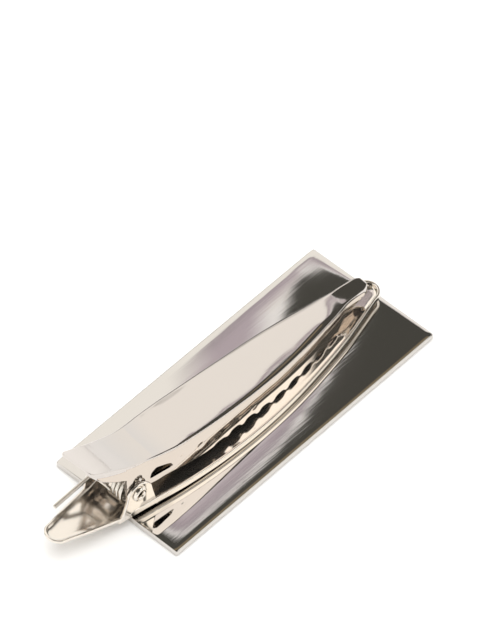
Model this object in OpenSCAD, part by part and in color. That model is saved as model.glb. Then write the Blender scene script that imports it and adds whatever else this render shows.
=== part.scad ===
// Alligator hair clip soldered to the back of a plain rectangular plaque.
// Origin: on the plaque's front face, which rests on the table, under the clip's centre line.
// +X points from the thumb levers to the nose, +Z from the plaque to the clip. The clip is closed.

/* [Plaque] */
// Length of the plaque
plate_l = 70; // [60:0.5:80]
// Width of the plaque
plate_w = 30.6; // [26:0.1:36]
// Thickness of the plaque
plate_t = 1.4; // [1:0.1:2]
// Angle between the plaque and the clip, as soldered
plate_turn = 1.15; // [0:0.05:2]
// Sideways distance of the plaque's centre from the clip's centre line
plate_shift = 0.3; // [0:0.05:1.5]

/* [Lower jaw] */
// Thickness of the jaw's sheet
tray_t = 0.55; // [0.4:0.05:0.7]
// Height of the tray's rim above its underside
rim_h = 1.75; // [1.2:0.05:2.2]
// Height of the rim round the thumb tongue
tongue_rim_h = 1.1; // [0.8:0.1:1.4]
// Gap between the tray and the plaque at its lowest point
tray_gap = 0.25; // [0.15:0.05:0.5]
// Rise of the thumb tongue in degrees
tongue_rise = 12; // [6:1:16]

/* [Upper jaw] */
// Thickness of the jaw's sheet
blade_t = 0.5; // [0.4:0.05:0.6]
// Distance between teeth
tooth_pitch = 4.07; // [3.5:0.01:4.5]
// Height of a tooth
tooth_h = 0.85; // [0.5:0.05:1]
// Crown of the blade's top across its width
crown = 0.4; // [0.2:0.05:0.6]

/* [Pivot] */
// Distance of the pivot behind the plaque's centre
pivot_back = 33.2; // [32.5:0.1:33.8]
// Height of the pivot above the plaque's back face
pivot_up = 6.4; // [6:0.1:6.8]
// Radius of the rivet's shank
rivet_r = 1.2; // [1:0.05:1.3]
// Radius of the rivet's rolled heads
head_r = 1.65; // [1.5:0.05:1.8]
// Radial clearance of the rivet in the moving ears
pivot_play = 0.06; // [0.02:0.01:0.1]

/* [Spring] */
// Diameter of the spring wire
wire_d = 0.8; // [0.6:0.05:0.9]
// Mean radius of the coil
coil_r = 2.65; // [2.3:0.05:2.8]
// Full turns of the coil
coil_turns = 3; // [2:1:3]

/* [Hidden] */
$fn = 48;

pivot = [-pivot_back, 0, pivot_up];

// Half width of the tray and tongue along the clip
tray_half = [[-48.7, 2.6], [-45, 3.5], [-40, 4.5], [-36, 5.3], [-29.5, 6.4], [-23, 7.5],
             [-14, 8.35], [-4, 8.55], [5, 8.05], [13, 7], [23, 5.15], [32.5, 2.65]];
nose_r = 2.65;
nose_x = 32.5;
tongue_r = 2.6;
tongue_x = -48.7;
tongue_root = -36;
tray_bow = 0.5;
bow_half = 34;

// Outer face of the lower ears
ear_y = 5.45;
ear_top_r = 2.9;
ear_top_drop = 0.45;
ear_foot = [-38, -29.3];

// Height of the blade's top at its centre, half width of its flat top and of its flanges' foot
blade_top = [[-43.8, 20], [-41, 18.2], [-37.5, 16.1], [-33.4, 13.9], [-29, 12.2], [-24, 10.9], [-18, 10],
             [-10, 8.95], [0, 7.9], [10, 7.45], [20, 7.3], [26, 6.95], [30.5, 6.2], [32, 5.8]];
blade_half = [[-43.8, 3.95], [-37, 4.35], [-30, 4.9], [-22, 5.3], [-14, 5.05], [-5, 4.7], [3, 4.25],
              [9.4, 3.4], [20, 1.95], [26, 1.75], [30.5, 1.55]];
foot_half = [[-43.8, 4.15], [-37, 4.6], [-33, 4.8], [-30, 4.79], [-27, 5.05], [-23, 5.5], [-16, 5.7],
             [-6, 5.55], [2, 5.2], [5.7, 4.95], [10, 4.5], [14, 4], [18, 3.35], [22.4, 2.6], [25.2, 2.1],
             [30.5, 1.75]];
// Height of the flanges' lower edge above the plaque's back face
foot_low = [[-43.8, 19.2], [-41.4, 16.2], [-38.5, 13.6], [-35.5, 11.4], [-33, 8.5], [-30.4, 5.5], [-24.2, 4.6],
            [-16, 2.95], [-6, 2.15], [-2, 1.6], [2, 1.05], [12, 0.98], [20.5, 1.15], [22, 1.6],
            [23.6, 3], [26, 3.9], [30.5, 4.6], [32, 4.7]];
blade_end = -43.8;
blade_tip = 32;
tip_round = 1.9;
bend_drop = [[-43.8, 0.35], [-30, 0.5], [-22, 1], [-10, 1.5], [10, 1.6], [22, 1.2], [32, 0.6]];
bend_steps = [30, 60, 90];
first_tooth = 20.2;
tooth_count = 9;
tooth_half = 1.65;

// Smooth curve through points [x, value], by cubic pieces
function slope(p, i) =
    let (a = max(i - 1, 0), b = min(i + 1, len(p) - 1)) (p[b][1] - p[a][1]) / (p[b][0] - p[a][0]);
function piece(p, x, i = 0) = (i >= len(p) - 2 || x <= p[i + 1][0]) ? i : piece(p, x, i + 1);
function curve(p, x) =
    let (i = piece(p, x), w = p[i + 1][0] - p[i][0], t = min(max((x - p[i][0]) / w, 0), 1))
    (2 * pow(t, 3) - 3 * t * t + 1) * p[i][1] + (pow(t, 3) - 2 * t * t + t) * w * slope(p, i)
    + (3 * t * t - 2 * pow(t, 3)) * p[i + 1][1] + (pow(t, 3) - t * t) * w * slope(p, i + 1);
function steps(a, b, n) = [for (i = [0:n]) a + (b - a) * i / n];

// Underside of the lower jaw: a shallow bow under the tray, then the rising tongue
function tray_low(x) =
    let (bow = tray_gap + tray_bow * pow(max(x, tongue_root) / bow_half, 2))
    bow + tan(tongue_rise) * max(tongue_root - x, 0);

module side_band(low, high) {
    xs = steps(-53, 36, 60);
    outline = concat([for (x = xs) [x, tray_low(x) + low]],
                     [for (i = [len(xs) - 1:-1:0]) [xs[i], tray_low(xs[i]) + high]]);
    rotate([90, 0, 0]) linear_extrude(24, center = true) polygon(outline);
}

module jaw_plan() {
    xs = steps(tongue_x, nose_x, 44);
    polygon(concat([for (x = xs) [x, curve(tray_half, x)]],
                   [for (i = [len(xs) - 1:-1:0]) [xs[i], -curve(tray_half, xs[i])]]));
    translate([nose_x, 0]) circle(nose_r);
    translate([tongue_x, 0]) circle(tongue_r);
}

module rim_plan() {
    difference() {
        jaw_plan();
        offset(delta = -tray_t) jaw_plan();
    }
}

module part_of_plan(x0, x1) {
    intersection() {
        children();
        translate([x0, -12]) square([x1 - x0, 24]);
    }
}

module ear_side() {
    difference() {
        union() {
            translate([pivot[0], pivot[2] - ear_top_drop]) circle(ear_top_r);
            polygon([[ear_foot[0], 1], [pivot[0] - ear_top_r, pivot[2] - ear_top_drop],
                     [pivot[0] + ear_top_r, pivot[2] - ear_top_drop], [ear_foot[1], 1]]);
        }
        translate([pivot[0], pivot[2]]) circle(rivet_r);
    }
}

module on_plaque() {
    translate([0, 0, plate_t]) children();
}

module plate() {
    color([0.86, 0.83, 0.8]) translate([0, -plate_shift, 0]) rotate([0, 0, plate_turn])
        linear_extrude(plate_t) offset(0.4) square([plate_l - 0.8, plate_w - 0.8], center = true);
}

module lower_jaw() {
    color([0.78, 0.7, 0.62]) on_plaque() {
        intersection() {
            linear_extrude(20) jaw_plan();
            side_band(0, tray_t);
        }
        intersection() {
            linear_extrude(20) part_of_plan(tongue_root, 40) rim_plan();
            side_band(0, rim_h);
        }
        intersection() {
            linear_extrude(20) part_of_plan(-60, tongue_root) rim_plan();
            side_band(0, tongue_rim_h);
        }
        for (side = [-1, 1])
            translate([0, side * (ear_y - tray_t / 2), 0]) rotate([90, 0, 0])
                linear_extrude(tray_t, center = true) ear_side();
    }
}

// Lower edge of the flange, which dips round the rivet as a lobe
lobe_r = 2.45;
function foot(x) =
    let (reach = abs(x - pivot[0]), dip = pivot[2] - sqrt(max(0, lobe_r * lobe_r - reach * reach)))
    reach <= lobe_r ? min(curve(foot_low, x), dip) : curve(foot_low, x);

// One cross-section of the blade as points [y, z], outside first and then inside
function half_section(x, inset) =
    let (tip = max(0, 1 - pow(max(0, x - (blade_tip - tip_round)) / tip_round, 2)),
         narrow = max(0.35, sqrt(tip)),
         w = curve(blade_half, x) * narrow - inset * 0.3,
         f = curve(foot_half, x) * narrow - inset,
         h = curve(blade_top, x) - inset,
         drop = curve(bend_drop, x),
         wb = w + (f - w) * 0.75)
    concat([[0, h + crown], [0.55 * w, h + 0.7 * crown], [w, h]],
           [for (a = bend_steps) [w + (wb - w) * sin(a), h - drop * (1 - cos(a))]],
           [[f, foot(x)]]);
function mirrored(p) = [for (i = [len(p) - 1:-1:1]) [-p[i][0], p[i][1]]];
function section(x) =
    let (outside = half_section(x, 0), inside = half_section(x, blade_t),
         inside_all = concat(mirrored(inside), inside))
    concat(mirrored(outside), outside, [for (i = [len(inside_all) - 1:-1:0]) inside_all[i]]);

module loft(stations) {
    rings = [for (x = stations) [for (q = section(x)) [x, q[0], q[1]]]];
    n = len(rings[0]);
    m = len(rings);
    half = n / 2;
    points = [for (ring = rings) for (q = ring) q];
    walls = [for (i = [0:m - 2]) for (j = [0:n - 1])
        let (a = i * n + j, b = i * n + (j + 1) % n) each [[a, b, b + n], [a, b + n, a + n]]];
    caps = [for (j = [0:half - 2])
        let (a = j, b = j + 1, c = n - 2 - j, d = n - 1 - j)
        each [[d, c, b], [d, b, a]]];
    last = (m - 1) * n;
    polyhedron(points, concat(walls, caps, [for (f = caps) [for (v = [2:-1:0]) f[v] + last]]));
}

module flange_cut(x, z, r) {
    translate([x, 0, z]) rotate([90, 0, 0]) cylinder(r = r, h = 24, center = true);
}

module upper_jaw() {
    notch_r = (tooth_half * tooth_half + tooth_h * tooth_h) / (2 * tooth_h);
    lobe_back = pivot[0] - lobe_r;
    lobe_front = pivot[0] + lobe_r;
    stations = concat(steps(blade_end, lobe_back - 0.02, 10),
                      [for (a = [0:15:180]) pivot[0] - lobe_r * cos(a)],
                      steps(lobe_front + 0.4, 20, 36), steps(20.8, 27, 8), steps(27.8, blade_tip - 0.1, 8));
    color([0.8, 0.78, 0.76]) on_plaque() difference() {
        loft(stations);
        flange_cut(pivot[0], pivot[2], rivet_r + pivot_play);
        flange_cut(pivot[0] + 0.2, pivot[2] + 3, 1.2);
        rotate([90, 0, 0]) linear_extrude(24, center = true)
            polygon([[-29.9, 6.9], [-29.5, 8.3], [-28.3, 9.1], [-24.9, 7.7], [-24.3, 6.4]]);
        for (i = [0:tooth_count - 1])
            let (x = first_tooth - i * tooth_pitch, h = tooth_h * min(1, max(0.3, (x + 18) / 10)))
                flange_cut(x, curve(foot_low, x) + h - notch_r, notch_r);
    }
}

module pivot_rivet() {
    hole_r = rivet_r - 0.4;
    head_h = 0.65;
    shoulder = 0.3;
    color([0.7, 0.66, 0.6]) on_plaque() translate(pivot) rotate([90, 0, 0]) difference() {
        union() {
            cylinder(r = rivet_r, h = 2 * (ear_y + head_h), center = true);
            for (side = [-1, 1])
                translate([0, 0, side * ear_y]) rotate([90 - 90 * side, 0, 0]) {
                    cylinder(r = head_r, h = head_h - shoulder);
                    translate([0, 0, head_h - shoulder]) cylinder(r1 = head_r, r2 = head_r - shoulder, h = shoulder);
                }
        }
        cylinder(r = hole_r, h = 20, center = true);
    }
}

// Spring wire: a leg under the lever, the coil, a straight run across to the far ear, and a leg over the tongue
coil_centre = pivot + [-0.2, 0, -0.4];
coil_y = [-3.8, -0.5];
leg_angle = 45;
exit_angle = 190;
coil_sweep = leg_angle - exit_angle + 360 * (coil_turns + 1);
coil_steps = 16 * (coil_turns + 1) - 6;
upper_leg_l = 11.9;
cross_y = 3.75;
bend_r = 0.9;
tongue_leg_tip = [-45.6, 4.1, 5.2];
function on_coil(a, y) = coil_centre + [coil_r * cos(a), y, coil_r * sin(a)];
exit_way = [sin(exit_angle), 0, -cos(exit_angle)];
coil_exit = on_coil(exit_angle, coil_y[1]);
cross_start = coil_exit + bend_r * exit_way + [0, bend_r, 0];
cross_end = [cross_start[0], cross_y - bend_r, cross_start[2]];
function unit(v) = v / norm(v);
tongue_way = unit(tongue_leg_tip - cross_end);
function wire_path() = concat(
    [on_coil(leg_angle, coil_y[0]) + upper_leg_l * [-sin(leg_angle), 0.1, cos(leg_angle)]],
    [for (i = [0:coil_steps]) on_coil(leg_angle - coil_sweep * i / coil_steps,
        coil_y[0] + (coil_y[1] - coil_y[0]) * i / coil_steps)],
    [for (a = [30:30:90]) coil_exit + bend_r * (sin(a) * exit_way + (1 - cos(a)) * [0, 1, 0])],
    [for (a = [0:30:90]) cross_end + bend_r * (sin(a) * [0, 1, 0] + (1 - cos(a)) * tongue_way)],
    [tongue_leg_tip]);
function heading(p, i) = unit(p[min(i + 1, len(p) - 1)] - p[max(i - 1, 0)]);
function square_to(v, t) = unit(v - (v * t) * t);
module wire(path, r) {
    sides = 8;
    n = len(path);
    sideways = [for (i = 0, u = square_to([0, 1, 0], heading(path, 0)); i < n;
                     i = i + 1, u = square_to(u, heading(path, min(i, n - 1)))) u];
    ring = [for (i = [0:n - 1])
        let (u = sideways[i], v = cross(heading(path, i), u))
        for (k = [0:sides - 1]) path[i] + r * (cos(k * 360 / sides) * u + sin(k * 360 / sides) * v)];
    walls = [for (i = [0:n - 2]) for (k = [0:sides - 1])
        let (a = i * sides + k, b = i * sides + (k + 1) % sides)
        each [[b, a, b + sides], [b + sides, a, a + sides]]];
    start = [for (k = [0:sides - 1]) k];
    end = [for (k = [sides - 1:-1:0]) (n - 1) * sides + k];
    polyhedron(ring, concat(walls, [start], [end]));
}

module torsion_spring() {
    color([0.72, 0.68, 0.62]) on_plaque() wire(wire_path(), wire_d / 2);
}

module solder_pad(x) {
    on_plaque() intersection() {
        translate([x, 0, -1]) cylinder(r = 3, h = 3);
        translate([x - 4, -4, 0]) cube([8, 8, 3]);
        side_band(-2, 0);
    }
}
module solder_front() {
    color([0.6, 0.6, 0.6]) solder_pad(14);
}
module solder_rear() {
    color([0.6, 0.6, 0.6]) solder_pad(-16);
}

plate();
lower_jaw();
upper_jaw();
pivot_rivet();
torsion_spring();
solder_front();
solder_rear();
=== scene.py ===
"""Alligator hair clip on a mirror-polished plaque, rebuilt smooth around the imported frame."""
import math

import bmesh
import bpy
from mathutils import Matrix, Vector


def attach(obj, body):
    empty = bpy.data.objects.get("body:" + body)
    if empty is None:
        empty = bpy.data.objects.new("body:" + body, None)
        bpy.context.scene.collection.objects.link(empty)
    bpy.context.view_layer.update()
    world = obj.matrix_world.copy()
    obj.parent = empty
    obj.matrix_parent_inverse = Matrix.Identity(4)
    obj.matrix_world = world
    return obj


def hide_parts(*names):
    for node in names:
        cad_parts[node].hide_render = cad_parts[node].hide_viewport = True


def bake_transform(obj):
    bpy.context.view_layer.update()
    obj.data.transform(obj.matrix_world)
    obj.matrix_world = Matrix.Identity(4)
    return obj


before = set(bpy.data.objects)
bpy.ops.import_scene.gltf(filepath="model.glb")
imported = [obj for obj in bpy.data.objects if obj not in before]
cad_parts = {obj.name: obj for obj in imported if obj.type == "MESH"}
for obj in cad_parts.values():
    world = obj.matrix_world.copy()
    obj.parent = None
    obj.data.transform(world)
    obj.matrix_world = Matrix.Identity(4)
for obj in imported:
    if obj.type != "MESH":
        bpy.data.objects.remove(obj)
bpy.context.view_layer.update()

MM = 0.001

# Plaque, in millimetres. Its back face is the mirror that the clip is fixed to.
PLATE_L, PLATE_W, PLATE_T = 70.0, 30.6, 1.4
PLATE_TURN = math.radians(1.15)
PLATE_SHIFT = -0.3
PLATE_CORNER = 0.4
PLATE_EDGE = 0.22

# The clip's sizes are in millimetres, and its heights start at the plaque's back face
LIFT = Vector((0, 0, PLATE_T))
SHEET_LOW, SHEET_UP = 0.55, 0.5
PIVOT_X, PIVOT_Z = -33.2, 6.4
RIVET_R, RIVET_PLAY = 1.2, 0.06

# Lower jaw
RIM_H, TONGUE_RIM_H = 1.75, 1.1
TRAY_GAP, TRAY_BOW, BOW_HALF = 0.25, 0.5, 34.0
TONGUE_ROOT, TONGUE_RISE = -36.0, math.radians(12)
TONGUE_X, TONGUE_R = -48.7, 2.6
NOSE_X, NOSE_R = 32.5, 2.65
OUTER_BEND, INNER_BEND, RIM_LIP = 0.62, 0.3, 0.16
FLOOR_INSET = 1.6
EAR_Y, EAR_R, EAR_DROP = 5.45, 2.9, 0.45
EAR_FRONT, EAR_REAR, EAR_FALL, EAR_LIP = -30.3, -36.1, 4.95, 0.13
EAR_FOOT_FRONT, EAR_FOOT_REAR, EAR_FOOT_Z = -30.2, -37.1, 1.0
# Half width of the tray's outline, as (x, half width)
TRAY_HALF = [(-48.7, 2.6), (-45, 3.5), (-40, 4.5), (-36, 5.3), (-29.5, 6.4), (-23, 7.5), (-14, 8.35),
             (-4, 8.55), (5, 8.05), (13, 7), (23, 5.15), (32.5, 2.65)]

# Upper jaw. Each list holds (x, value).
BLADE_END, BLADE_TIP, TIP_ROUND, REAR_ROUND = -43.8, 32.0, 1.9, 1.1
# Height of the blade's top
BLADE_TOP = [(-43.8, 20), (-41, 18.2), (-37.5, 16.1), (-33.4, 13.9), (-29, 12.2), (-24, 10.9), (-18, 10),
             (-10, 8.95), (0, 8.0), (10, 7.55), (20, 7.2), (26, 6.9), (30.5, 6.36), (32, 6.18)]
# Half width of the blade's top, up to its shoulder
BLADE_HALF = [(-43.8, 3.8), (-37, 4.25), (-30, 4.4), (-22, 5.1), (-14, 5.15), (-5, 4.85), (3, 4.27),
              (9.4, 3.62), (17.2, 2.32), (21.2, 1.85), (24, 1.6), (27, 1.5), (30.5, 1.35)]
# Downward slope of the top where it meets the shoulder
SHOULDER = [(-43.8, 0.02), (-30, 0.03), (-15, 0.07), (5, 0.03), (20, 0.03), (25, 0.01), (32, 0.01)]
# Half width between the flanges' lower edges
FOOT_HALF = [(-43.8, 4.15), (-37, 4.6), (-33, 4.8), (-30, 4.79), (-27, 5.05), (-23, 5.5), (-16, 5.7),
             (-6, 5.58), (2, 5.26), (5.7, 5.02), (10, 4.57), (14, 4.07), (18, 3.42), (22.4, 2.64),
             (25.2, 2.1), (30.5, 1.75)]
# Height of the flanges' lower edges, before the teeth are cut
FOOT_LOW = [(-43.8, 19.2), (-41.4, 16.2), (-38.5, 13.6), (-35.5, 11.4), (-33, 8.5), (-30.4, 5.5),
            (-24.2, 4.6), (-16, 2.95), (-6, 2.15), (-2, 1.6), (2, 1.05), (12, 0.98), (20.5, 1.15),
            (22, 1.6), (23.6, 3), (26, 3.9), (30.5, 4.6), (32, 4.7)]
LOBE_R = 2.45
# How the top falls to its shoulder, and how far it drops over the last stretch of the tip
TOP_POWER, TIP_DROP, TIP_DROP_L = 2.3, 0.35, 0.45
# The flange leans out below its bend, whose radius shrinks where there is little room
FLANGE_LEAN, TIGHT_BEND, BLADE_LIP = 0.12, 0.11, 0.12
KNEE, BEND_END = math.radians(20), math.radians(81)
TOP_STEPS, SHOULDER_STEPS, BEND_STEPS, FLANGE_STEPS = 16, 10, 12, 22
FIRST_TOOTH, TOOTH_PITCH, TOOTH_COUNT = 20.2, 4.07, 9
TOOTH_HALF, TOOTH_H = 1.7, 0.9
# Small pressed marks on the flange, as (x, z)
DIMPLES = [(-3.2, 4.3), (-8.2, 4.9), (-13, 5.0), (-17.5, 6.4), (-22.1, 7.2)]
DIMPLE_DEPTH = 0.08
WINDOW = [(-29.9, 6.9), (-29.5, 8.3), (-28.3, 9.1), (-24.9, 7.7), (-24.3, 6.4)]
WINDOW_ROUNDING = 0.22
CUTTER_REACH = 9


def curve(points, x):
    """Smooth curve through points (x, value), by cubic pieces."""
    i = 0
    while i < len(points) - 2 and x > points[i + 1][0]:
        i += 1

    def slope(k):
        a, b = points[max(k - 1, 0)], points[min(k + 1, len(points) - 1)]
        return (b[1] - a[1]) / (b[0] - a[0])

    (x0, v0), (x1, v1) = points[i], points[i + 1]
    w = x1 - x0
    t = min(max((x - x0) / w, 0), 1)
    return ((2 * t**3 - 3 * t * t + 1) * v0 + (t**3 - 2 * t * t + t) * w * slope(i)
            + (3 * t * t - 2 * t**3) * v1 + (t**3 - t * t) * w * slope(i + 1))


def steps(a, b, n):
    """Values from a to b in n equal steps."""
    return [a + (b - a) * i / n for i in range(n + 1)]


def cosd(a):
    return math.cos(math.radians(a))


def sind(a):
    return math.sin(math.radians(a))


def smooth(t):
    """Smooth step from 0 to 1."""
    t = min(max(t, 0.0), 1.0)
    return t * t * (3 - 2 * t)


# ---------------------------------------------------------------- meshes

def new_object(name, bm, sharp=32):
    """Turns a bmesh in millimetres into an object in metres with smooth shading."""
    bmesh.ops.remove_doubles(bm, verts=bm.verts, dist=0.0005)
    bmesh.ops.dissolve_degenerate(bm, edges=bm.edges, dist=0.0003)
    bmesh.ops.recalc_face_normals(bm, faces=bm.faces)
    bmesh.ops.transform(bm, matrix=Matrix.Scale(MM, 4), verts=bm.verts)
    mesh = bpy.data.meshes.new(name)
    bm.to_mesh(mesh)
    bm.free()
    obj = bpy.data.objects.new(name, mesh)
    bpy.context.collection.objects.link(obj)
    smooth_by_angle(obj, sharp)
    return obj


def smooth_by_angle(obj, angle):
    for p in obj.data.polygons:
        p.use_smooth = True
    obj.data.set_sharp_from_angle(angle=math.radians(angle))


def loft(bm, loops, close=True, cap_start=False, cap_end=False, ring=False):
    """Skins a list of equal point loops. With ring, the last loop joins the first."""
    rows = [[bm.verts.new(p) for p in loop] for loop in loops]
    n = len(rows[0])
    for a, b in zip(rows, rows[1:] + rows[:1] if ring else rows[1:]):
        for j in range(n if close else n - 1):
            k = (j + 1) % n
            bm.faces.new((a[j], a[k], b[k], b[j]))
    if cap_start:
        bm.faces.new(list(reversed(rows[0])))
    if cap_end:
        bm.faces.new(rows[-1])
    return rows


def cut(obj, cutters, sharp=32):
    """Subtracts other objects and removes them."""
    for c in cutters:
        m = obj.modifiers.new("cut", "BOOLEAN")
        m.operation = "DIFFERENCE"
        m.solver = "EXACT"
        m.object = c
    apply_modifiers(obj)
    for c in cutters:
        bpy.data.objects.remove(c, do_unlink=True)
    smooth_by_angle(obj, sharp)


def apply_modifiers(obj):
    bpy.context.view_layer.update()
    done = obj.evaluated_get(bpy.context.evaluated_depsgraph_get())
    mesh = bpy.data.meshes.new_from_object(done)
    obj.modifiers.clear()
    old = obj.data
    obj.data = mesh
    bpy.data.meshes.remove(old)


# ---------------------------------------------------------------- plaque

def plate_height(x, y):
    """Height of the plaque's back face, which polishing has rolled off towards its edges."""
    # Each roll-off is a distance to an edge, the width of its band and its drop at the edge
    drop = 0.0
    for inset, band, depth in ((PLATE_L / 2 - x, 2.5, 0.045), (PLATE_L / 2 - x, 0.9, 0.06),
                               (PLATE_L / 2 + x, 1.0, 0.04), (PLATE_W / 2 - y, 1.2, 0.02),
                               (PLATE_W / 2 + y, 1.2, 0.06)):
        drop += depth * max(1 - inset / band, 0.0) ** 2
    return PLATE_T - drop


def plate_lines(half, n):
    """Grid lines over a side of the plaque, closer together on its rounded edges."""
    outer = [half - PLATE_EDGE * (1 - sind(a)) for a in (14, 30, 50, 70, 90)]
    return [-v for v in outer[::-1]] + steps(-(half - PLATE_EDGE), half - PLATE_EDGE, n) + outer


def plate_point(x, y):
    """Moves (x, y) into the outline's rounded corners and gives its distance to the outline."""
    r = PLATE_CORNER
    dx = abs(x) - (PLATE_L / 2 - r)
    dy = abs(y) - (PLATE_W / 2 - r)
    if dx > 0 and dy > 0:
        u, v = dx / r, dy / r
        u, v = u * math.sqrt(1 - v * v / 2), v * math.sqrt(1 - u * u / 2)
        inset = r * (1 - math.hypot(u, v))
        x = math.copysign(PLATE_L / 2 - r + u * r, x)
        y = math.copysign(PLATE_W / 2 - r + v * r, y)
    else:
        inset = min(PLATE_L / 2 - abs(x), PLATE_W / 2 - abs(y))
    return x, y, max(inset, 0.0)


def grid_rim(grid):
    """The outer points of a grid, in order round it."""
    n, m = len(grid), len(grid[0])
    return ([grid[i][0] for i in range(n)] + [grid[n - 1][j] for j in range(1, m)]
            + [grid[i][m - 1] for i in range(n - 2, -1, -1)] + [grid[0][j] for j in range(m - 2, 0, -1)])


def make_plate():
    bm = bmesh.new()
    turn = Matrix.Translation((0, PLATE_SHIFT, 0)) @ Matrix.Rotation(PLATE_TURN, 4, "Z")

    def vertex(x, y, top):
        x, y, inset = plate_point(x, y)
        fall = 0.0
        if inset < PLATE_EDGE:
            fall = PLATE_EDGE - math.sqrt(max(0.0, PLATE_EDGE**2 - (PLATE_EDGE - inset) ** 2))
        return bm.verts.new(turn @ Vector((x, y, plate_height(x, y) - fall if top else fall)))

    xs = plate_lines(PLATE_L / 2, 200)
    ys = plate_lines(PLATE_W / 2, 100)
    rims = []
    for top in (True, False):
        grid = [[vertex(x, y, top) for y in ys] for x in xs]
        for a, b in zip(grid, grid[1:]):
            for j in range(len(ys) - 1):
                bm.faces.new((a[j], b[j], b[j + 1], a[j + 1]))
        rims.append(grid_rim(grid))
    a, b = rims
    for i in range(len(a)):
        k = (i + 1) % len(a)
        bm.faces.new((a[i], a[k], b[k], b[i]))
    return new_object("plaque", bm, 40)


# ---------------------------------------------------------------- lower jaw

def tray_low(x):
    """Height of the tray's underside, which bows, and rises along the tongue."""
    bow = TRAY_GAP + TRAY_BOW * (max(x, TONGUE_ROOT) / BOW_HALF) ** 2
    return bow + math.tan(TONGUE_RISE) * max(TONGUE_ROOT - x, 0)


def round_end(x, r, start, end, n):
    """Points of a round end about (x, 0), each with its outward normal."""
    return [(x + r * cosd(a), r * sind(a), cosd(a), sind(a)) for a in steps(start, end, n)]


def tray_outline():
    """Points of one side of the jaw's outline, from tongue to nose, each with its outward normal."""
    ahead = 0.01
    rise = curve(TRAY_HALF, TONGUE_X + ahead) - curve(TRAY_HALF, TONGUE_X)
    fall = curve(TRAY_HALF, NOSE_X - ahead) - curve(TRAY_HALF, NOSE_X)
    side = round_end(TONGUE_X, TONGUE_R, 180, 90 + math.degrees(math.atan2(rise, ahead)), 20)
    for x in steps(TONGUE_X, NOSE_X, 190)[1:-1]:
        d = (curve(TRAY_HALF, x + 0.05) - curve(TRAY_HALF, x - 0.05)) / 0.1
        n = math.hypot(d, 1)
        side.append((x, curve(TRAY_HALF, x), -d / n, 1 / n))
    return side + round_end(NOSE_X, NOSE_R, 90 - math.degrees(math.atan2(fall, ahead)), 0, 24)


def rim_height(x):
    return TONGUE_RIM_H + (RIM_H - TONGUE_RIM_H) * smooth((x + 37.5) / 3.0)


def tray_profile(rim):
    """Half of the jaw's section as (inset from the outline, height): underside, wall, rim, wall, floor."""
    t, lip, bend, fillet = SHEET_LOW, RIM_LIP, OUTER_BEND, INNER_BEND
    out = [(FLOOR_INSET, 0.0), (0.7, 0.0)]
    out += [(bend * (1 - sind(a)), bend * (1 - cosd(a))) for a in (15, 32, 50, 70, 90)]
    out += [(0.0, (rim + bend) / 2), (0.0, rim - lip)]
    out += [(lip * (1 - cosd(a)), rim - lip + lip * sind(a)) for a in (30, 60, 90)]
    out += [(t - lip + lip * sind(a), rim - lip + lip * cosd(a)) for a in (0, 30, 60, 90)]
    out += [(t, (rim + t) / 2 + 0.1), (t, t + fillet)]
    out += [(t + fillet * (1 - cosd(a)), t + fillet * (1 - sind(a))) for a in (30, 60, 90)]
    return out + [(FLOOR_INSET, t)]


def make_lower_jaw():
    bm = bmesh.new()
    loops = []
    across = 10
    for x, y, nx, ny in tray_outline():
        half = [(x - nx * inset, max(y - ny * inset, 0.0), z) for inset, z in tray_profile(rim_height(x))]
        right = [Vector((px, -py, tray_low(px) + z)) for px, py, z in half]
        left = [Vector((px, py, tray_low(px) + z)) for px, py, z in half]
        floor = [right[-1].lerp(left[-1], k / across) for k in range(1, across)]
        under = [left[0].lerp(right[0], k / across) for k in range(1, across)]
        loops.append([p + LIFT for p in right + floor + left[::-1] + under])
    loft(bm, loops)
    return new_object("lower_jaw_tray", bm)


def ear_outline(grow):
    """Side view of a lower ear, round its top and back along its foot, as (x, z)."""
    r = EAR_R + grow
    middle = PIVOT_Z - EAR_DROP
    pts = [(PIVOT_X + r * cosd(a), middle + r * sind(a)) for a in steps(172, 8, 40)]
    pts += [(EAR_FRONT + grow + t, middle - EAR_FALL * t) for t in steps(0.2, 1, 12)]
    pts += [(x, EAR_FOOT_Z - grow) for x in steps(EAR_FOOT_FRONT + grow, EAR_FOOT_REAR - grow, 16)]
    pts += [(EAR_REAR - grow - 1.9 * t, middle - EAR_FALL * t) for t in steps(1, 0.1, 12)]
    return pts


def ear_face(x, z):
    """Outer face of an ear: it grows out of the tray's wall and straightens round the rivet."""
    wall = curve(TRAY_HALF, x) - 0.02
    ahead = x - PIVOT_X
    upper = EAR_Y + (0.15 if ahead > 0 else 0.05) * ahead * smooth(abs(ahead) / 1.5)
    return wall + (upper - wall) * smooth((z - 1.3) / 2.4)


def make_ear(side):
    bm = bmesh.new()
    t, lip = SHEET_LOW, EAR_LIP
    cx, cz = PIVOT_X - 0.2, 4.2

    def ring(grow, depth, share=1.0):
        """The outline at a depth below the outer face, shrunk towards (cx, cz)."""
        pts = []
        for x, z in ear_outline(grow):
            x, z = cx + (x - cx) * share, cz + (z - cz) * share
            pts.append(Vector((x, side * (ear_face(x, z) - depth), z + PLATE_T)))
        return pts

    shares = [0.02] + steps(0.1, 1, 14)
    rings = [ring(-lip, 0, k) for k in shares]
    rings += [ring(-0.4 * lip, 0.04), ring(0, lip), ring(0, t - lip), ring(-0.4 * lip, t - 0.04)]
    rings += [ring(-lip, t, k) for k in shares[::-1]]
    loft(bm, rings, cap_start=True, cap_end=True)
    ear = new_object("lower_ear_near" if side < 0 else "lower_ear_far", bm, 35)
    cut(ear, [round_cutter("bore", PIVOT_X, PIVOT_Z, RIVET_R)], 35)
    return ear


# ---------------------------------------------------------------- upper jaw

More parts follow.
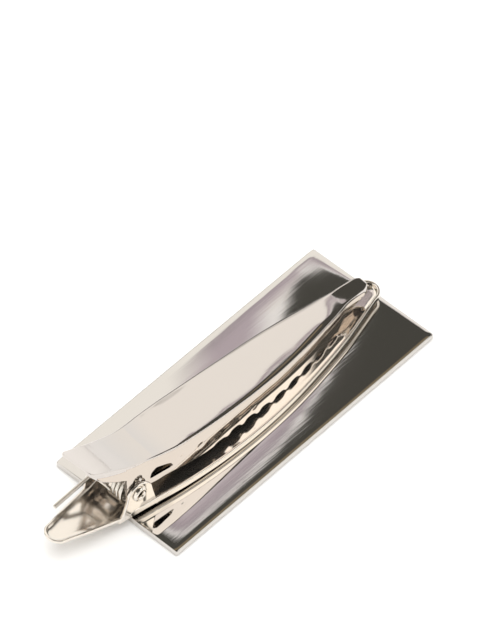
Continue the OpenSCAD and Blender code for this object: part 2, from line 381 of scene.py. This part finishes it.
def foot(x):
    """Height of a flange's lower edge, with the lobe round the pivot."""
    low = curve(FOOT_LOW, x)
    reach = abs(x - PIVOT_X)
    if reach <= LOBE_R:
        return min(low, PIVOT_Z - math.sqrt(max(0.0, LOBE_R**2 - reach**2)))
    return low


def tooth_notch(x):
    """How far the notches between the teeth lift the lower edge. They grow shallow at the rear."""
    lift = 0.0
    for i in range(TOOTH_COUNT):
        cx = FIRST_TOOTH - i * TOOTH_PITCH
        d = abs(x - cx) / TOOTH_HALF
        if d < 1:
            lift = TOOTH_H * min(1, max(0.3, (cx + 18) / 10)) * (1 - d**3)
    return lift


def blade_roll(x):
    """Sideways slope of the blade's top, which leans to the near side at its tip."""
    return -0.05 + 0.05 * smooth((x - 17.5) / 7) + 0.09 * smooth((x - 24) / 4)


def dimple(x, z):
    """Depth at (x, z) of the row of small pressed marks on the flange."""
    depth = 0.0
    for cx, cz in DIMPLES:
        depth += DIMPLE_DEPTH * math.exp(-((x - cx) / 0.75) ** 2 - ((z - cz) / 0.5) ** 2)
    return depth


def tip_narrowing(x):
    """How much of its width the blade keeps at x, from 1 down to 0 at its rounded tip."""
    ahead = max(0.0, x - (BLADE_TIP - TIP_ROUND)) / TIP_ROUND
    return math.sqrt(max(0.0, 1 - ahead**2))


def half_section(x, inset, low, side, narrow):
    """Half of the blade's section as (y, z): flat top, gentle shoulder, tight bend and flange."""
    behind = max(0.0, BLADE_END + REAR_ROUND - x)
    rear = REAR_ROUND - math.sqrt(max(0.0, REAR_ROUND**2 - behind**2))
    top_half = max((curve(BLADE_HALF, x) - inset * 0.3) * narrow - rear, 0.0)
    foot_half = max((curve(FOOT_HALF, x) - inset) * narrow - rear, 0.0)
    drop = TIP_DROP * max(0.0, (x - BLADE_TIP + TIP_DROP_L) / TIP_DROP_L) ** 2
    top = curve(BLADE_TOP, x) - inset - drop
    roll = blade_roll(x) * side
    slope = curve(SHOULDER, x)
    pts = []
    for k in range(TOP_STEPS + 1):
        y = top_half * k / TOP_STEPS
        crown = slope * top_half / TOP_POWER * (1 - (y / max(top_half, 0.1)) ** TOP_POWER)
        pts.append((y, top + crown + roll * y))

    reach = max(foot_half - FLANGE_LEAN - top_half, 0.04 * narrow)
    tight = min(TIGHT_BEND, 0.5 * reach)
    stride = (reach - tight) / SHOULDER_STEPS
    start = math.atan(slope) + math.radians(0.5)
    y, z = pts[-1]
    for k in range(1, SHOULDER_STEPS + 1):
        y += stride
        z -= stride * math.tan(start + (KNEE - start) * (k - 0.5) / SHOULDER_STEPS)
        pts.append((y, z))

    radius = tight / (math.sin(BEND_END) - math.sin(KNEE))
    for k in range(1, BEND_STEPS + 1):
        a = KNEE + (BEND_END - KNEE) * k / BEND_STEPS
        pts.append((y + radius * (math.sin(a) - math.sin(KNEE)), z - radius * (math.cos(KNEE) - math.cos(a))))

    y0, z0 = pts[-1]
    for k in range(1, FLANGE_STEPS + 1):
        t = k / FLANGE_STEPS
        z = z0 + (low - z0) * t
        pressed = dimple(x, z) if inset == 0 else 0.0
        pts.append((foot_half - (foot_half - y0) * (1 - t) ** 5 - pressed, z))
    return pts


def blade_stations():
    """Places along X of the blade's sections, closer at the rear, the pivot's lobe and the tip."""
    stations = [BLADE_END + REAR_ROUND * (1 - cosd(a)) for a in steps(0, 80, 10)]
    stations += steps(BLADE_END + REAR_ROUND, PIVOT_X - LOBE_R - 0.02, 40)
    stations += [PIVOT_X - LOBE_R * cosd(a) for a in steps(0, 180, 24)]
    stations += steps(PIVOT_X + LOBE_R + 0.1, BLADE_TIP - TIP_ROUND, 260)
    stations += [BLADE_TIP - TIP_ROUND * (1 - sind(a)) for a in steps(3, 90, 20)]
    return stations


def blade_loop(x):
    """Closed section of the sheet at x: the near half from its outside in, then the far half back."""
    low = foot(x) + tooth_notch(x)
    x_in = x - max(0.0, x - (BLADE_TIP - TIP_ROUND)) * SHEET_UP / TIP_ROUND
    narrow = tip_narrowing(x)
    lip = BLADE_LIP
    halves = []
    for side in (-1, 1):
        outer = half_section(x, 0.0, low + lip, side, narrow)
        inner = half_section(x_in, SHEET_UP, low + lip, side, narrow)
        y_out, y_in = outer[-1][0], inner[-1][0]
        lip_out = min(lip, y_out)
        lip_in = min(lip, max(y_out - y_in, 0) / 2)
        outer += [(y_out - lip_out * (1 - cosd(a)), low + lip * (1 - sind(a))) for a in (30, 60, 90)]
        edge = [(y_in + lip_in * (1 - sind(a)), low + lip * (1 - cosd(a))) for a in (0, 30, 60)]
        halves.append([(x, side * y, z) for y, z in outer]
                      + [(x_in, side * y, z) for y, z in edge + inner[::-1]])
    return [Vector(p) + LIFT for p in halves[0][:-1] + halves[1][:0:-1]]


def close_rear(bm, ring):
    """Fills the sheet's rear edge, between the outside and the inside of each half."""
    n = len(ring)
    half = n // 2
    for k in range(half // 2):
        quad = (k, k + 1, half - 1 - k, half - k)
        bm.faces.new([ring[i] for i in quad])
        bm.faces.new([ring[(n - i) % n] for i in quad])


def make_upper_jaw():
    bm = bmesh.new()
    rows = loft(bm, [blade_loop(x) for x in blade_stations()])
    close_rear(bm, rows[0])
    jaw = new_object("upper_jaw_blade", bm, 32)
    cut(jaw, [round_cutter("bore", PIVOT_X, PIVOT_Z, RIVET_R + RIVET_PLAY),
              round_cutter("relief", PIVOT_X + 0.2, PIVOT_Z + 3.0, 1.2), window_cutter()])
    return jaw


def cutter(name, outline):
    """Bar across the clip with the side view outline, which holds (x, z)."""
    bm = bmesh.new()
    rings = [[Vector((x, y, z)) for x, z in outline] for y in (-CUTTER_REACH, CUTTER_REACH)]
    loft(bm, rings, cap_start=True, cap_end=True)
    return new_object(name, bm)


def round_cutter(name, x, z, r):
    return cutter(name, [(x + r * cosd(a), z + PLATE_T + r * sind(a)) for a in range(0, 360, 8)])


def between(p, q, t):
    """The point at share t of the way from p to q."""
    return (p[0] + (q[0] - p[0]) * t, p[1] + (q[1] - p[1]) * t)


def window_cutter():
    """Cutter for the window in the flange, a polygon with rounded corners."""
    outline = []
    for i, corner in enumerate(WINDOW):
        a = between(corner, WINDOW[i - 1], WINDOW_ROUNDING)
        b = between(corner, WINDOW[(i + 1) % len(WINDOW)], WINDOW_ROUNDING)
        for t in steps(0, 1, 4):
            x, z = between(between(a, corner, t), between(corner, b, t), t)
            outline.append((x, z + PLATE_T))
    return cutter("window", outline)


# ---------------------------------------------------------------- rivet

def make_rivet():
    """Tubular rivet with rolled heads."""
    bm = bmesh.new()
    hole, head, rise, around = 0.72, 1.62, 0.62, 48
    middle, roll = (hole + head) / 2, (head - hole) / 2
    profile = [(hole, EAR_Y - 0.2)]
    profile += [(middle + roll * cosd(a), EAR_Y + rise * sind(a)) for a in steps(180, 0, 16)]
    profile += [(RIVET_R, EAR_Y - 0.01)]
    loops = []
    for k in range(around):
        a = 2 * math.pi * k / around
        c, s = math.cos(a), math.sin(a)
        far = [Vector((PIVOT_X + q * c, y, PIVOT_Z + PLATE_T + q * s)) for q, y in profile]
        loops.append(far + [Vector((v.x, -v.y, v.z)) for v in far[::-1]])
    loft(bm, loops, ring=True)
    return new_object("pivot_rivet_rolled", bm, 40)


# ---------------------------------------------------------------- spring

WIRE_R = 0.4
COIL_R, COIL_TURNS = 2.65, 3
COIL_CENTRE = Vector((PIVOT_X - 0.2, 0, PIVOT_Z - 0.4))
COIL_Y = (-3.8, -0.5)
LEG_ANGLE, EXIT_ANGLE = 45, 190
UPPER_LEG_L = 11.9
CROSS_Y, BEND_R = 3.75, 0.9
TONGUE_LEG_TIP = Vector((-45.6, 4.1, 5.2))
WIRE_SIDES = 16
# Rounded end of the upper leg, as (share of the wire's radius, distance along it)
LEG_END = ((0.55, 0.0), (0.85, 0.05), (1, 0.12))


def on_coil(a, y):
    """Point of the coil at angle a in degrees and y across the clip."""
    return COIL_CENTRE + Vector((COIL_R * cosd(a), y, COIL_R * sind(a)))


def wire_path():
    """Points along the wire: the upper leg, the coil, a run across the clip and the tongue's leg."""
    sweep = LEG_ANGLE - EXIT_ANGLE + 360 * (COIL_TURNS + 1)
    leg_way = Vector((-sind(LEG_ANGLE), 0.1, cosd(LEG_ANGLE)))
    leg_foot = on_coil(LEG_ANGLE, COIL_Y[0])
    path = [leg_foot + UPPER_LEG_L * leg_way * k / 12 for k in range(12, 0, -1)]
    n = 40 * (COIL_TURNS + 1)
    path += [on_coil(LEG_ANGLE - sweep * i / n, COIL_Y[0] + (COIL_Y[1] - COIL_Y[0]) * i / n)
             for i in range(n + 1)]

    across = Vector((0, 1, 0))
    exit_way = Vector((sind(EXIT_ANGLE), 0, -cosd(EXIT_ANGLE)))
    coil_exit = on_coil(EXIT_ANGLE, COIL_Y[1])
    path += [coil_exit + BEND_R * (sind(a) * exit_way + (1 - cosd(a)) * across) for a in steps(10, 90, 8)]
    cross_start = coil_exit + BEND_R * exit_way + BEND_R * across
    cross_end = Vector((cross_start.x, CROSS_Y - BEND_R, cross_start.z))
    tongue_way = (TONGUE_LEG_TIP - cross_end).normalized()
    path += [cross_end + BEND_R * (sind(a) * across + (1 - cosd(a)) * tongue_way) for a in steps(0, 90, 9)]
    last = path[-1]
    return path + [last.lerp(TONGUE_LEG_TIP, k / 8) for k in range(1, 9)]


def make_spring():
    bm = bmesh.new()
    path = wire_path()
    angles = [2 * math.pi * k / WIRE_SIDES for k in range(WIRE_SIDES)]
    u = Vector((0, 1, 0))
    loops = []
    for i, p in enumerate(path):
        t = (path[min(i + 1, len(path) - 1)] - path[max(i - 1, 0)]).normalized()
        u = (u - u.dot(t) * t).normalized()
        v = t.cross(u)
        circle = [(u * math.cos(a) + v * math.sin(a)) * WIRE_R for a in angles]
        for share, ahead in LEG_END if i == 0 else ((1, 0.0),):
            loops.append([p + c * share + LIFT + t * ahead for c in circle])
    loft(bm, loops, cap_start=True, cap_end=True)
    return new_object("torsion_spring_wire", bm, 50)


# ---------------------------------------------------------------- solder

def make_solder(x, name, wobble):
    """Low pad under the tray at x, with a slightly wavy outline."""
    bm = bmesh.new()
    around, share = 40, 0.93
    rings = []
    for z, r in ((0.0, 3.0), (0.06, 2.9), (0.14, 2.72), (tray_low(x) + 0.02, 2.75)):
        ring = []
        for k in range(around):
            a = 2 * math.pi * k / around
            q = r * (1 + 0.05 * math.sin(3 * a + wobble) + 0.03 * math.sin(5 * a + 2 * wobble)) * share
            ring.append(Vector((x + q * math.cos(a), q * math.sin(a), PLATE_T + z)))
        rings.append(ring)
    loft(bm, rings, cap_start=True, cap_end=True)
    return new_object(name, bm, 40)


# ---------------------------------------------------------------- shader helpers

def new_material(name):
    mat = bpy.data.materials.new(name)
    mat.use_nodes = True
    return mat, mat.node_tree


def feed(nt, value, socket):
    """Gives a socket a number, a colour or another node's output."""
    if isinstance(value, (int, float)):
        socket.default_value = value
    elif isinstance(value, tuple):
        socket.default_value = (*value, 1)
    else:
        nt.links.new(value, socket)


def math_node(nt, operation, *values):
    node = nt.nodes.new("ShaderNodeMath")
    node.operation = operation
    for k, value in enumerate(values):
        feed(nt, value, node.inputs[k])
    return node.outputs[0]


def ramp_between(nt, value, low, high, to_low=0.0, to_high=1.0):
    """Straight ramp from to_low, where the value is low, to to_high, where it is high."""
    node = nt.nodes.new("ShaderNodeMapRange")
    for name, v in (("From Min", low), ("From Max", high), ("To Min", to_low), ("To Max", to_high)):
        node.inputs[name].default_value = v
    nt.links.new(value, node.inputs["Value"])
    return node.outputs["Result"]


def colour_ramp(nt, value, low, high, stops):
    """A colour ramp over low..high, with its stops given in the value's own units."""
    ramp = nt.nodes.new("ShaderNodeValToRGB")
    elements = ramp.color_ramp.elements
    while len(elements) < len(stops):
        elements.new(0.5)
    for element, (at, colour) in zip(elements, stops):
        element.position = (at - low) / (high - low)
        element.color = (*colour, 1)
    nt.links.new(ramp_between(nt, value, low, high), ramp.inputs["Fac"])
    return ramp.outputs["Color"]


def mixed(nt, factor, a, b, mode="MIX"):
    """Colour a where the factor is 0 and b where it is 1."""
    node = nt.nodes.new("ShaderNodeMix")
    node.data_type = "RGBA"
    node.blend_type = mode
    feed(nt, factor, node.inputs["Factor"])
    feed(nt, a, node.inputs["A"])
    feed(nt, b, node.inputs["B"])
    return node.outputs["Result"]


def coordinates(nt, kind):
    return nt.nodes.new("ShaderNodeTexCoord").outputs[kind]


def axes(nt, vector):
    node = nt.nodes.new("ShaderNodeSeparateXYZ")
    nt.links.new(vector, node.inputs[0])
    return node.outputs["X"], node.outputs["Y"], node.outputs["Z"]


def noise(nt, vector, scale, detail):
    """Noise of one scale, or stretched where scale holds one for each axis."""
    node = nt.nodes.new("ShaderNodeTexNoise")
    node.inputs["Detail"].default_value = detail
    if isinstance(scale, tuple):
        mapping = nt.nodes.new("ShaderNodeMapping")
        mapping.inputs["Scale"].default_value = scale
        nt.links.new(vector, mapping.inputs["Vector"])
        vector, scale = mapping.outputs["Vector"], 1.0
    node.inputs["Scale"].default_value = scale
    nt.links.new(vector, node.inputs["Vector"])
    return node.outputs["Fac"]


# ---------------------------------------------------------------- materials

STREAK_SCALE, STREAK_DEPTH = (90, 2200, 2200), 0.00001
POLISH_SCALE = 180.0
DULL_FROM, DULL_TO, DULL_BY = -0.0325, -0.0355, 0.09


def metal(name, tint, rough, streak=0.25, metallic=1.0, dull_tongue=False):
    """Polished metal with faint rolling streaks along X and a slightly uneven polish."""
    mat, nt = new_material(name)
    bsdf = nt.nodes["Principled BSDF"]
    feed(nt, metallic, bsdf.inputs["Metallic"])
    feed(nt, tint, bsdf.inputs["Base Color"])
    place = coordinates(nt, "Object")
    bump = nt.nodes.new("ShaderNodeBump")
    bump.inputs["Strength"].default_value = streak
    bump.inputs["Distance"].default_value = STREAK_DEPTH
    nt.links.new(noise(nt, place, STREAK_SCALE, 3.0), bump.inputs["Height"])
    nt.links.new(bump.outputs["Normal"], bsdf.inputs["Normal"])
    roughness = ramp_between(nt, noise(nt, place, POLISH_SCALE, 4.0), 0, 1, rough * 0.7, rough * 1.5)
    if dull_tongue:
        dull = ramp_between(nt, axes(nt, place)[0], DULL_FROM, DULL_TO, 0, DULL_BY)
        roughness = math_node(nt, "ADD", roughness, dull)
    nt.links.new(roughness, bsdf.inputs["Roughness"])
    return mat


def floor_material():
    mat, nt = new_material("floor_white")
    bsdf = nt.nodes["Principled BSDF"]
    feed(nt, (0.92, 0.92, 0.92), bsdf.inputs["Base Color"])
    feed(nt, 0.8, bsdf.inputs["Roughness"])
    feed(nt, 0.1, bsdf.inputs["Specular IOR Level"])
    return mat


# ---------------------------------------------------------------- studio

# The overhead card is laid out in metres from its own origin, which lies at this place and height
CARD_CENTRE, CARD_HEIGHT = (0.1445, 0.140), 0.2514

DARK = (0.072, 0.070, 0.062)
LIGHT = (0.95, 0.93, 0.92)
MAUVE = (0.52, 0.45, 0.49)
DEEP = (0.36, 0.31, 0.34)
PALE = (0.62, 0.56, 0.58)
COOL = (0.93, 0.925, 0.905)
CREAM = (1.0, 0.97, 0.92)
TAN = (0.26, 0.21, 0.14)
SHADE = (0.05, 0.045, 0.04)


def rectangle(name, x, y):
    """Flat sheet between two x and two y values, in millimetres."""
    bm = bmesh.new()
    loft(bm, [[Vector((u, v, 0)) for u in x] for v in y], close=False)
    return new_object(name, bm)


def make_card():
    """Overhead softbox and dark flag that only the polished metal mirrors."""
    card = rectangle("overhead_card", (-420, 300), (-460, 300))
    card.location = (*CARD_CENTRE, CARD_HEIGHT)
    mat, nt = new_material("overhead_card")
    nt.nodes.remove(nt.nodes["Principled BSDF"])
    place = coordinates(nt, "Object")
    x, y, _ = axes(nt, place)
    frayed = math_node(nt, "MULTIPLY_ADD", noise(nt, place, (30, 800, 0), 3.0), 0.012, -0.006)

    def plane(a, b, c, fray=0.0):
        """a x + b y + c, frayed along X."""
        value = math_node(nt, "MULTIPLY_ADD", x, a, math_node(nt, "MULTIPLY_ADD", y, b, c))
        if fray:
            value = math_node(nt, "MULTIPLY_ADD", frayed, fray, value)
        return value

    def both(a, b):
        return math_node(nt, "MULTIPLY", a, b)

    # What the plaque mirrors on its near side: a dark flag inside three soft edges, with a warm patch
    slant = math_node(nt, "SMOOTH_MIN", plane(-0.313, 0.95, 0.0165, 0.35), plane(-0.065, 1, 0.0182), 0.005)
    soft = math_node(nt, "SMOOTH_MIN", slant, plane(1, 0.1, 0.0453), 0.006)
    near = colour_ramp(nt, soft, -0.01, 0.03,
                       [(-0.0007, DARK), (0.0, LIGHT), (0.0004, LIGHT), (0.0014, DEEP), (0.0035, MAUVE),
                        (0.0075, LIGHT)])
    warm = both(ramp_between(nt, y, -0.045, -0.06), ramp_between(nt, y, -0.1, -0.085))
    warm = both(warm, ramp_between(nt, x, 0.048, 0.042))
    near = mixed(nt, warm, near, TAN)

    # What it mirrors on its far side: the flag's far edge, then a shaded strip and cream beyond it
    lifted = math_node(nt, "MAXIMUM", plane(-0.481, 0.876, 0.0029, 0.8), plane(0, 1, -0.014))
    far = colour_ramp(nt, lifted, -0.01, 0.03,
                      [(-0.0008, DARK), (0.0006, LIGHT), (0.003, LIGHT), (0.007, MAUVE), (0.013, MAUVE),
                       (0.019, CREAM)])
    outer = plane(-0.1, 0.995, -0.0155, 0.06)
    strip = colour_ramp(nt, outer, -0.01, 0.01, [(-0.006, CREAM), (-0.003, MAUVE), (-0.0004, DEEP)])
    strip = mixed(nt, ramp_between(nt, x, -0.012, 0.004), CREAM, strip)
    far = mixed(nt, 1.0, far, strip, "DARKEN")
    far = mixed(nt, ramp_between(nt, outer, 0, 0.0006), far, CREAM)

    # What the blade's top mirrors: the flag's slanting edge, cream beyond it and a dark bar far off
    top = colour_ramp(nt, plane(0.3, 0.954, -0.024, 0.4), -0.01, 0.03,
                      [(-0.001, DARK), (0.0002, LIGHT), (0.0011, LIGHT), (0.0022, PALE), (0.0072, DEEP),
                       (0.0086, CREAM)])
    bar = both(ramp_between(nt, y, 0.125, 0.13), ramp_between(nt, x, 0.14, 0.08))
    top = mixed(nt, bar, top, DARK)

    # A brighter cream patch at the card's near end
    width = ramp_between(nt, math_node(nt, "ABSOLUTE", x), 0.12, 0.09)
    front = both(ramp_between(nt, y, -0.23, -0.242), width)

    colour = mixed(nt, ramp_between(nt, x, 0.0335, 0.0355), far, top)
    colour = mixed(nt, ramp_between(nt, y, -0.008, -0.004), near, colour)
    colour = mixed(nt, ramp_between(nt, x, 0.13, 0.27), colour, COOL)
    colour = mixed(nt, front, colour, CREAM)
    glow = nt.nodes.new("ShaderNodeEmission")
    nt.links.new(math_node(nt, "MULTIPLY_ADD", front, 0.75, 1.25), glow.inputs["Strength"])
    nt.links.new(colour, glow.inputs["Color"])
    nt.links.new(glow.outputs[0], nt.nodes["Material Output"].inputs["Surface"])
    card.data.materials.append(mat)
    card.visible_camera = False
    card.visible_diffuse = False
    card.visible_shadow = False


def make_world():
    """Pale studio round the object, much dimmer overhead, with a dark band on either side."""
    world = bpy.data.worlds.new("studio")
    bpy.context.scene.world = world
    world.use_nodes = True
    nt = world.node_tree
    _, y, z = axes(nt, coordinates(nt, "Generated"))
    colour = colour_ramp(nt, z, -1, 1,
                         [(-1, (1, 1, 1)), (-0.02, (1.2, 1.19, 1.17)), (0.1, (1.15, 1.15, 1.13)),
                          (0.4, (1.22, 1.19, 1.13)), (0.75, (1.22, 1.19, 1.13)), (0.85, (0.3, 0.28, 0.27))])
    aside = ramp_between(nt, math_node(nt, "ABSOLUTE", y), 0.55, 0.65)
    band = math_node(nt, "MULTIPLY", aside, ramp_between(nt, z, 0.17, 0.2))
    band = math_node(nt, "MULTIPLY", band, ramp_between(nt, z, 0.42, 0.38))
    nt.links.new(mixed(nt, band, colour, SHADE), nt.nodes["Background"].inputs["Color"])


def make_floor():
    """Pale table, a hair below the plaque so that the two faces don't fight."""
    half = 1500
    floor = rectangle("floor", (-half, half), (-half, half))
    floor.location.z = -0.00003
    floor.data.materials.append(floor_material())


def make_lights():
    """A wide overhead softbox that lights the table and is not itself mirrored."""
    light = bpy.data.lights.new("top_softbox", "AREA")
    light.shape = "DISK"
    light.size = 1.6
    light.energy = 18
    obj = bpy.data.objects.new("top_softbox", light)
    obj.location = (-0.1, -0.1, 1.5)
    obj.rotation_euler = obj.location.to_track_quat("Z", "Y").to_euler()
    obj.visible_glossy = False
    bpy.context.collection.objects.link(obj)


def make_camera():
    """Long lens looking down at the clip from its near, rear side."""
    azimuth, elevation, distance = -45.81, 50.85, 1.15
    across, above = -0.000974, 0.01502
    back = Vector((sind(azimuth) * cosd(elevation), -cosd(azimuth) * cosd(elevation), sind(elevation)))
    right = Vector((cosd(azimuth), sind(azimuth), 0))
    up = back.cross(right)
    cam = bpy.data.cameras.new("camera")
    cam.lens = 348.5
    cam.sensor_width = 36
    obj = bpy.data.objects.new("camera", cam)
    place = Matrix.Translation(back * distance + right * across + up * above)
    obj.matrix_world = place @ Matrix((right, up, back)).transposed().to_4x4()
    bpy.context.collection.objects.link(obj)
    bpy.context.scene.camera = obj


# ---------------------------------------------------------------- assembly

def put(obj, body, slot, mat, *nodes):
    """Gives a piece its body and material, and hides the CAD nodes that it stands for. The slot argument is
    not used.
    """
    obj.data.materials.clear()
    obj.data.materials.append(mat)
    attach(obj, body)
    if nodes:
        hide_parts(*nodes)


nickel_plate = metal("plaque_mirror", (0.64, 0.615, 0.585), rough=0.03, streak=0.08)
nickel_low = metal("lower_jaw_nickel", (0.79, 0.737, 0.672), rough=0.05, metallic=0.97, dull_tongue=True)
nickel_up = metal("upper_jaw_nickel", (0.626, 0.586, 0.556), rough=0.04, streak=0.12)
nickel_rivet = metal("rivet_nickel", (0.80, 0.74, 0.67), rough=0.12)
spring_steel = metal("spring_steel", (0.72, 0.68, 0.62), rough=0.16)
solder_metal = metal("solder", (0.5, 0.5, 0.49), rough=0.35)

make_camera()
make_world()
make_card()
make_floor()
make_lights()
put(make_plate(), "lower", "plate", nickel_plate, "plate")
put(make_lower_jaw(), "lower", "lower_jaw", nickel_low, "lower_jaw")
for side in (-1, 1):
    put(make_ear(side), "lower", "lower_jaw", nickel_low)
put(make_upper_jaw(), "upper", "upper_jaw", nickel_up, "upper_jaw")
put(make_rivet(), "lower", "pivot_rivet", nickel_rivet, "pivot_rivet")
spring = make_spring()
spring.data.materials.append(spring_steel)
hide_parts("torsion_spring")
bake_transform(spring)
put(make_solder(14, "solder_front_pad", 0.4), "lower", "solder", solder_metal, "solder_front")
put(make_solder(-16, "solder_rear_pad", 1.9), "lower", "solder", solder_metal, "solder_rear")
bpy.context.scene.view_settings.view_transform = "Standard"
